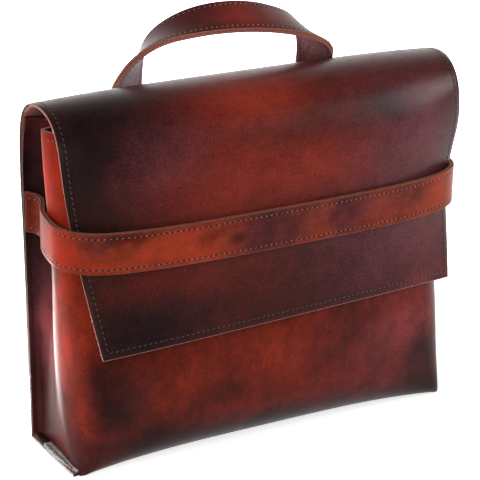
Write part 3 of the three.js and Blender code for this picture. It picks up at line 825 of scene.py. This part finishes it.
# %% Strap and handle
STRAP_WIDTH, STRAP_PLY = 36 * MM, 2 * MM
HANDLE_WIDTH, HANDLE_PLY = 34 * MM, 2.6 * MM
STRIPS = (
    ("strap_outer", "strap_face", (0, -70, 208), (0, -1, 0), STRAP_WIDTH, STRAP_PLY,
     strap_leather, raw_edge_brown),
    ("strap_lining", "strap_back", (0, -66, 208), (0, 1, 0), STRAP_WIDTH, STRAP_PLY,
     suede_red, raw_edge_brown),
    ("handle_outer", "handle_face", (0, 29, 374), (0, 0, 1), HANDLE_WIDTH, HANDLE_PLY,
     handle_leather, raw_edge_red),
    ("handle_lining", "handle_back", (0, 29, 369), (0, 0, -1), HANDLE_WIDTH, HANDLE_PLY,
     suede_mauve, raw_edge_red),
)
STRIP_ROWS = 6
plies, ply_runs, ply_trees = {}, {}, {}
for node, name, near, facing, width, thickness, finish, edge in STRIPS:
    ply = strip(node, name, near, facing, width, STRIP_ROWS)
    apply(ply, "SUBSURF", levels=1, render_levels=1, boundary_smooth="PRESERVE_CORNERS")
    plies[name], ply_runs[name] = ply, cut_edges(ply)
    ply_trees[name] = BVHTree.FromObject(ply, bpy.context.evaluated_depsgraph_get())
    print(name, "edge runs in mm:", [round(run_length(run) / MM) for run in ply_runs[name]])
    thicken(ply, thickness, ply_runs[name], (finish, suede_red, edge))
plies["handle_back"].data.materials.append(suede_plum)
for face in plies["handle_back"].data.polygons:
    if face.material_index == GRAIN and face.center.x > 0:
        face.material_index = FOURTH

# %% [markdown]
# ## Stitches
# The seams are sewn by hand with waxed thread, five or six stitches to the inch. Each stitch lies a
# little slanted between two dark slits, whose darkness is painted shade: a flat near-black shape on
# the leather, not a hole. One stitch and one slit are made once, as a few faces, and copied along
# the lines, which follow the cut edges at an even distance.

# %% One stitch and one hole
FLAP_PITCH = 5.0 * MM
STRAP_PITCH = 5.15 * MM
BODY_PITCH = 4.2 * MM
STITCH_SLANT = math.radians(14)
STITCH_SIDES = 6
THREAD = 0.29
THREAD_END = 0.10
THREAD_FULL = 0.6
THREAD_LIFT = 0.1
HOLE_SIDES = 6
HOLE_WIDTH = 0.5
HOLE_DEPTH = 0.25
HOLE_RIM = 0.03
HOLE_TOP = 0.05


def stitch_shape(reach, slant):
    """Points and faces of a stitch along x, in mm, on leather whose surface is at z = 0."""
    points, faces = [], []
    full = THREAD_FULL * reach
    rings = ((-reach, THREAD_END), (-full, THREAD), (full, THREAD), (reach, THREAD_END))
    for x, radius in rings:
        for side in range(STITCH_SIDES):
            angle = math.tau * side / STITCH_SIDES
            points.append((x, radius * math.cos(angle), THREAD_LIFT + radius * math.sin(angle)))
    for ring in range(len(rings) - 1):
        for side in range(STITCH_SIDES):
            after = (side + 1) % STITCH_SIDES
            a, b = ring * STITCH_SIDES, (ring + 1) * STITCH_SIDES
            faces.append((a + side, a + after, b + after, b + side))
    faces.append(tuple(range(STITCH_SIDES))[::-1])
    last = (len(rings) - 1) * STITCH_SIDES
    faces.append(tuple(range(last, last + STITCH_SIDES)))
    turn = Matrix.Rotation(slant, 3, "Z")
    return [turn @ Vector(point) for point in points], faces


def hole_shape(length):
    """A long flat double cone that stands a hair above the leather, as a pricking iron's slit:
    sew() gives it the near black that paints the slit's shade.
    """
    sides = range(HOLE_SIDES)
    angles = [math.tau * side / HOLE_SIDES for side in sides]
    points = [Vector((length * math.cos(angle), HOLE_WIDTH * math.sin(angle), HOLE_RIM))
              for angle in angles]
    points += [Vector((0, 0, HOLE_TOP)), Vector((0, 0, -HOLE_DEPTH))]
    top, tip = HOLE_SIDES, HOLE_SIDES + 1
    faces = [(side, (side + 1) % HOLE_SIDES, top) for side in sides]
    faces += [((side + 1) % HOLE_SIDES, side, tip) for side in sides]
    return points, faces


# %% Sewing along a line
def stitch_line(run, tree, inset, trim, pitch):
    """Places and normals at even steps along a cut edge, moved inwards on the surface."""
    places, normals = run
    lengths = np.concatenate([[0], np.cumsum([(b - a).length for a, b in zip(places, places[1:])])])
    span = lengths[-1] - 2 * trim
    count = max(1, round(span / pitch))
    line = []
    for step in range(count + 1):
        at = trim + span * step / count
        index = min(int(np.searchsorted(lengths, at, side="right")) - 1, len(places) - 2)
        share = (at - lengths[index]) / max(lengths[index + 1] - lengths[index], 1e-9)
        way = (places[index + 1] - places[index]).normalized()
        inward = normals[index].cross(way).normalized()
        spot = places[index].lerp(places[index + 1], share) + inward * inset
        found, normal, _, _ = tree.find_nearest(spot)
        line.append((found, normal))
    return line


def sew(name, lines, thread, slot, reach, hole_length, slant=STITCH_SLANT):
    """One mesh with a stitch between each two places of the lines, and a hole at each place. Half
    the length of a stitch and of a hole are given in mm."""
    stitch, stitch_faces = stitch_shape(reach, slant)
    hole, hole_faces = hole_shape(hole_length)
    points, faces, kinds = [], [], []

    def lay(shape, shape_faces, kind, place, way, normal):
        across = normal.cross(way)
        base = len(points)
        points.extend(place + (way * p.x + across * p.y + normal * p.z) * MM for p in shape)
        faces.extend(tuple(base + index for index in face) for face in shape_faces)
        kinds.extend([kind] * len(shape_faces))

    for line in lines:
        for (one, normal_one), (other, normal_other) in zip(line, line[1:]):
            way = (other - one).normalized()
            normal = (normal_one + normal_other).normalized()
            across = normal.cross(way).normalized()
            way = across.cross(normal)
            lay(stitch, stitch_faces, 0, (one + other) / 2, way, normal)
            lay(hole, hole_faces, 1, one, way, normal_one)
    mesh = bpy.data.meshes.new(name)
    mesh.from_pydata(points, [], faces)
    mesh.materials.append(thread)
    # the holes' near black paints the shade inside the slits
    mesh.materials.append(awl_hole_shade)
    mesh.polygons.foreach_set("material_index", np.array(kinds, np.int32))
    mesh.update()
    piece = bpy.data.objects.new(name, mesh)
    scene.collection.objects.link(piece)
    take(piece)
    bpy.ops.object.shade_smooth_by_angle(angle=SMOOTH_ANGLE)
    print(name, "has", sum(len(line) - 1 for line in lines), "stitches")
    return piece


# %% Seams of the flap, the strap and the handle
LONG = 100 * MM
RIGHT_SIDE = 100 * MM
# The right edge's run has shorter stitches and longer dark slits, which lay more painted shade on
# that seam.
FLAP_SEAMS = (("flap_stitches", False, 1.6, 0.9), ("flap_right_stitches", True, 1.2, 1.9))
PLY_SEAMS = (
    ("strap_face", STRAP_INSET, "strap_leather", thread_pale),
    ("handle_face", HANDLE_INSET, "handle_leather", thread_pale),
    ("handle_back", HANDLE_INSET, "handle_lining_leather", thread_dark),
)
PLY_TRIM = 2 * MM
PLY_STITCH = (1.15, 1.5)

stitches = []
flap_lines = [stitch_line(run, flap_tree, FLAP_INSET, FLAP_INSET, FLAP_PITCH) for run in flap_runs
              if run_length(run) > LONG]
for name, at_right, reach, hole_length in FLAP_SEAMS:
    lines = [line for line in flap_lines
             if (min(place.x for place, _ in line) > RIGHT_SIDE) == at_right]
    stitches.append(sew(name, lines, thread_grey, "flap_leather", reach, hole_length))
for name, inset, slot, thread in PLY_SEAMS:
    long_runs = [run for run in ply_runs[name] if run_length(run) > LONG]
    lines = [stitch_line(run, ply_trees[name], inset, PLY_TRIM, STRAP_PITCH) for run in long_runs]
    stitches.append(sew(name + "_stitches", lines, thread, slot, *PLY_STITCH))

# %% Seams of the gussets, the rim and the margins
UPRIGHT = 290 * MM
RIM_INSET = 7 * MM
RIM_REAR = -8 * MM
BODY_STITCH = (1.3, 0.9)
MARGIN_PITCH = 3.0 * MM
MARGIN_INSET = 3.4 * MM
MARGIN_SLANT = math.radians(62)
MARGIN_STITCH = (1.5, 0.5)


def is_rim(run):
    return min(point.z for point in run[0]) > RIM_LEVEL


def is_upright(run):
    heights = [point.z for point in run[0]]
    return max(heights) - min(heights) > UPRIGHT


seam_lines = [stitch_line(run, body_tree, BODY_INSET, BODY_INSET, BODY_PITCH) for run in body_runs
              if is_upright(run)]
stitches.append(sew("seam_stitches", seam_lines, thread_dark, "body_leather", *BODY_STITCH))
rim_lines = [stitch_line(run, body_tree, RIM_INSET, BODY_INSET, BODY_PITCH) for run in body_runs
             if run_length(run) > LONG and is_rim(run)]
rim_lines = [[place for place in line if place[0].y < RIM_REAR] for line in rim_lines]
stitches.append(sew("rim_stitches", rim_lines, thread_pale, "body_leather", *BODY_STITCH))
margin_lines = []
for sign in (-1, 1):
    count = round((MARGIN_BACK - MARGIN_FRONT) / MARGIN_PITCH)
    places = [Vector((sign * (MARGIN_OUTER - MARGIN_INSET), MARGIN_FRONT + step * MARGIN_PITCH,
                      MARGIN_PLIES[1][1])) for step in range(1, count)]
    margin_lines.append([(place, Vector((0, 0, 1))) for place in places])
stitches.append(sew("margin_stitches", margin_lines, thread_dark, "body_leather", *MARGIN_STITCH,
                    MARGIN_SLANT))

# %% [markdown]
# ## Hook rail
# The rail on the back is a plain moulding. Its CAD shape is right, so a copy only gets rounded
# edges and a finely textured black finish.

# %% Hook rail
RAIL_ROUND = 0.8 * MM
rail = copy_of("rack_hook_rail", "hook_rail")
bpy.ops.mesh.tris_convert_to_quads()
leave()
rail.data.materials.append(rail_black)
apply(rail, "BEVEL", width=RAIL_ROUND, segments=3, limit_method="ANGLE", angle_limit=ROUND_ANGLE)
take(rail)
bpy.ops.object.shade_smooth_by_angle(angle=SMOOTH_ANGLE)
print("hook rail:", len(rail.data.polygons), "faces")

# %% [markdown]
# ## Studio
# The sheens on the bag show where its light came from: a white table that glows under it, a
# bright backdrop behind, darkness overhead and far in front, a soft box at the right and a weak
# fill at the left. The table's glow is an emission that fades towards the viewer, and the backdrop
# is the world's colour. One bright strip of the table, faintly pink and beside the bag, is what
# the left gusset's ridge mirrors as a light line.

# %% Floor
FLOOR_SIZE = 12
TOWARDS_VIEW = (-0.506, -0.863, 0)
GLOW_START = 0.13
GLOW_END = 0.36
FLOOR_TONES = (0.39, 0.8)
FLOOR_GLOWS = (0.05, 0.7)
GLOW_BEHIND = (-0.15, -0.7, 0, 1.9)
bpy.ops.object.select_all(action="DESELECT")
bpy.ops.mesh.primitive_plane_add(size=FLOOR_SIZE, location=(0, 0, 0))
floor = bpy.context.object
floor.name = "floor"
floor_finish = bpy.data.materials.new("glowing table white")
floor_finish.use_nodes = True
floor_tree = floor_finish.node_tree
floor_shader = floor_tree.nodes["Principled BSDF"]
floor_shader.inputs["Roughness"].default_value = 0.9
floor_place = put(floor_tree, "ShaderNodeTexCoord").outputs["Object"]


def along(direction):
    return put(floor_tree, "ShaderNodeVectorMath", {0: floor_place, 1: direction},
               operation="DOT_PRODUCT").outputs["Value"]


def fade(value, start, end, low, high):
    return put(floor_tree, "ShaderNodeMapRange",
               {"Value": value, "From Min": start, "From Max": end, "To Min": low, "To Max": high},
               interpolation_type="SMOOTHSTEP").outputs[0]


def both(one, other, operation):
    return put(floor_tree, "ShaderNodeMath", {0: one, 1: other}, operation=operation).outputs[0]


nearer = along(TOWARDS_VIEW)
floor_tone = fade(nearer, GLOW_END, GLOW_START, *FLOOR_TONES)
floor_colour = put(floor_tree, "ShaderNodeCombineColor",
                   {"Red": floor_tone, "Green": floor_tone, "Blue": floor_tone})
floor_tree.links.new(floor_colour.outputs[0], floor_shader.inputs["Base Color"])
glow = fade(nearer, GLOW_END, GLOW_START, *FLOOR_GLOWS)
glow_behind = fade(nearer, *GLOW_BEHIND)

# %% The bright strip of the floor
STRIP_WAY = (-0.5, 0.866, 0)
STRIP_ACROSS = (0.866, 0.5, 0)
STRIP_PLACE = -0.10
STRIP_HALF, STRIP_CORE = 0.075, 0.03
STRIP_RISE, STRIP_FALL = (0.1, 0.38), (0.54, 0.46)
STRIP_STRENGTH = 31
STRIP_PINK = 0.22
beside = put(floor_tree, "ShaderNodeMath", {0: both(along(STRIP_ACROSS), STRIP_PLACE, "SUBTRACT")},
             operation="ABSOLUTE").outputs[0]
onward = along(STRIP_WAY)
in_strip = fade(beside, STRIP_HALF, STRIP_CORE, 0, 1)
for start, end in (STRIP_FALL, STRIP_RISE):
    in_strip = both(in_strip, fade(onward, start, end, 0, 1), "MULTIPLY")
strip_glow = both(in_strip, STRIP_STRENGTH, "MULTIPLY")
strip_tint = both(1, both(in_strip, STRIP_PINK, "MULTIPLY"), "SUBTRACT")
strip_colour = put(floor_tree, "ShaderNodeCombineColor",
                   {"Red": 1, "Green": strip_tint, "Blue": strip_tint})
floor_tree.links.new(strip_colour.outputs[0], floor_shader.inputs["Emission Color"])
glow_sum = both(both(glow, glow_behind, "ADD"), strip_glow, "ADD")
floor_tree.links.new(glow_sum, floor_shader.inputs["Emission Strength"])
floor.data.materials.append(floor_finish)
print("floor finish has", len(floor_tree.nodes), "nodes")

# %% Lights
LIGHTS = (
    ("right softbox", (1.5, -0.9, 0.9), (0, 0, 0.25), 0.5, 0.8, 20),
    ("left fill", (-1.3, -1.5, 1.0), (0, 0, 0.2), 1.2, 1.0, 18),
)
for name, place, aim, width, height, power in LIGHTS:
    data = bpy.data.lights.new(name, "AREA")
    data.shape = "RECTANGLE"
    data.size, data.size_y, data.energy = width, height, power
    light = bpy.data.objects.new(name, data)
    light.location = place
    light.rotation_euler = (Vector(aim) - Vector(place)).to_track_quat("-Z", "Y").to_euler()
    scene.collection.objects.link(light)
print(len(LIGHTS), "area lights")

# %% Backdrop
IN_FRONT, BEHIND = 0.14, 2.4
OVERHEAD = 0.25
world = bpy.data.worlds.new("studio")
scene.world = world
world.use_nodes = True
world_tree = world.node_tree
background = world_tree.nodes["Background"]
background.inputs["Color"].default_value = (1, 1, 1, 1)
sky = put(world_tree, "ShaderNodeTexCoord").outputs["Generated"]
sky_axes = put(world_tree, "ShaderNodeSeparateXYZ", {0: sky})
behind = put(world_tree, "ShaderNodeMapRange",
             {"Value": sky_axes.outputs["Y"], "From Min": -0.2, "From Max": 0.7,
              "To Min": IN_FRONT, "To Max": BEHIND}, interpolation_type="SMOOTHSTEP")
overhead = put(world_tree, "ShaderNodeMapRange",
               {"Value": sky_axes.outputs["Z"], "From Min": 0.35, "From Max": 0.8,
                "To Min": 1, "To Max": OVERHEAD}, interpolation_type="SMOOTHSTEP")
brightness = put(world_tree, "ShaderNodeMath", {0: behind.outputs[0], 1: overhead.outputs[0]},
                 operation="MULTIPLY")
world_tree.links.new(brightness.outputs[0], background.inputs["Strength"])
scene.view_settings.view_transform = "Standard"
print("backdrop strength from", IN_FRONT, "in front to", BEHIND, "behind")

# %% [markdown]
# ## Joining the frame
# Nothing on the bag turns or slides, so every piece rides on the one root body. Seven pieces take
# the places of the CAD nodes that they were made from. The bottom, the margins and the stitches
# are added to them.

# %% Ride and replace
for piece, node, slot in ((flap, "back_flap", "flap_leather"), (body, "body", "body_leather"),
                          (plies["strap_face"], "strap_outer", "strap_leather"),
                          (plies["strap_back"], "strap_lining", "strap_lining_leather"),
                          (plies["handle_face"], "handle_outer", "handle_leather"),
                          (plies["handle_back"], "handle_lining", "handle_lining_leather"),
                          (rail, "rack_hook_rail", "rail_plastic")):
    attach(piece, "root")
    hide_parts(node)
for piece in stitches:
    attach(piece, "root")
for piece in (bottom, *margins):
    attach(piece, "root")
